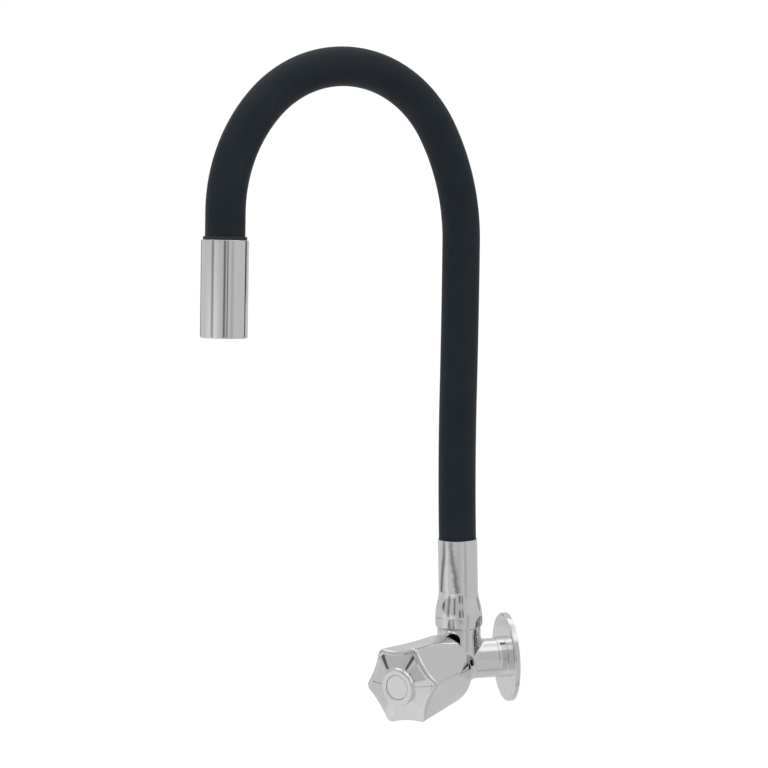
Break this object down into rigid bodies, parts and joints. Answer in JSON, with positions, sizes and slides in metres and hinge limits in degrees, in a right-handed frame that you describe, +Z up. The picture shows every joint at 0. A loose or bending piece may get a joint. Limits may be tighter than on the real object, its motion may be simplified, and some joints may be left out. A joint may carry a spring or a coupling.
{
  "type": "flexible wall tap",
  "caption": "Wall tap with a star knob valve and a bendable black hose spout that arches over to a chromed outlet.",
  "frame": {"origin": "centre of the wall flange's back face, on the axis of the inlet thread", "axes": "+Z up, +Y into the wall along the inlet thread, -Y out into the room; the spout at rest is turned 18 degrees from -Y toward +X"},
  "size_m": [0.0796, 0.1812, 0.3496],
  "materials": {
    "chrome": "polished",
    "brass": "turned",
    "steel": "satin",
    "black_steel": "black oxide",
    "silicone": "matte",
    "black_rubber": "satin",
    "fibre": "matte",
    "white_plastic": "matte"
  },
  "bodies": {
    "tap_body": {"valve_body": "chrome", "wall_flange": "chrome", "grub_screw": "black_steel", "glide_washer": "white_plastic", "bonnet": "brass", "bonnet_gasket": "fibre"},
    "valve_jumper": {"jumper": "brass", "seat_washer": "black_rubber", "washer_screw": "steel"},
    "handle": {"spindle": "brass", "spindle_o_rings": "black_rubber", "spindle_circlip": "steel", "knob": "chrome", "knob_screw": "steel", "index_cap": "chrome"},
    "spout_foot": {"swivel_spigot": "brass", "spigot_o_rings": "black_rubber", "neck_sleeve": "chrome", "lower_ferrule": "steel", "silicone_sleeve_1": "silicone", "gooseneck_core_1": "steel", "water_tube_1": "white_plastic"},
    "hose_2": {"silicone_sleeve_2": "silicone", "gooseneck_core_2": "steel", "water_tube_2": "white_plastic"},
    "hose_3": {"silicone_sleeve_3": "silicone", "gooseneck_core_3": "steel", "water_tube_3": "white_plastic"},
    "hose_4": {"silicone_sleeve_4": "silicone", "gooseneck_core_4": "steel", "water_tube_4": "white_plastic"},
    "hose_5": {"silicone_sleeve_5": "silicone", "gooseneck_core_5": "steel", "water_tube_5": "white_plastic"},
    "outlet": {"silicone_sleeve_6": "silicone", "gooseneck_core_6": "steel", "water_tube_6": "white_plastic", "upper_ferrule": "steel", "outlet_adapter": "brass", "mouth_ring": "black_rubber", "outlet_shell": "chrome", "aerator_gasket": "black_rubber", "aerator_housing": "white_plastic", "flow_disc": "white_plastic", "aerator_screens": "steel"}
  },
  "joints": [
    {"name": "knob_turn", "type": "hinge", "parent": "tap_body", "child": "handle", "pos_m": [0, -0.0276, -0.0012], "axis": [0.7071, -0.7071, 0], "range_deg": [0, 810]},
    {"name": "valve_lift", "type": "slide", "parent": "tap_body", "child": "valve_jumper", "axis": [0.7071, -0.7071, 0], "range_m": [0, 0.0045]},
    {"name": "spout_swivel", "type": "hinge", "parent": "tap_body", "child": "spout_foot", "pos_m": [0, -0.0276, 0], "axis": [0, 0, 1], "range_deg": [-108, 72]},
    {"name": "hose_bend_1", "type": "hinge", "parent": "spout_foot", "child": "hose_2", "pos_m": [-0.0006, -0.02574, 0.14527], "axis": [-0.9511, -0.309, 0], "range_deg": [-20, 4]},
    {"name": "hose_lean", "type": "hinge", "parent": "hose_2", "child": "hose_3", "pos_m": [-0.00162, -0.02262, 0.2252], "axis": [0.309, -0.9511, 0], "range_deg": [-20, 20]},
    {"name": "hose_bend_2", "type": "hinge", "parent": "hose_3", "child": "hose_4", "pos_m": [0.00268, -0.03586, 0.28385], "axis": [-0.9511, -0.309, 0], "range_deg": [-12, 24]},
    {"name": "hose_bend_3", "type": "hinge", "parent": "hose_4", "child": "hose_5", "pos_m": [0.01664, -0.07881, 0.31518], "axis": [-0.9511, -0.309, 0], "range_deg": [-12, 24]},
    {"name": "hose_bend_4", "type": "hinge", "parent": "hose_5", "child": "outlet", "pos_m": [0.03343, -0.1305, 0.29684], "axis": [-0.9511, -0.309, 0], "range_deg": [-12, 24]}
  ],
  "couplings": [
    {"joint": "valve_lift", "follows": "knob_turn", "m_per_rad": 0.0003183}
  ]
}
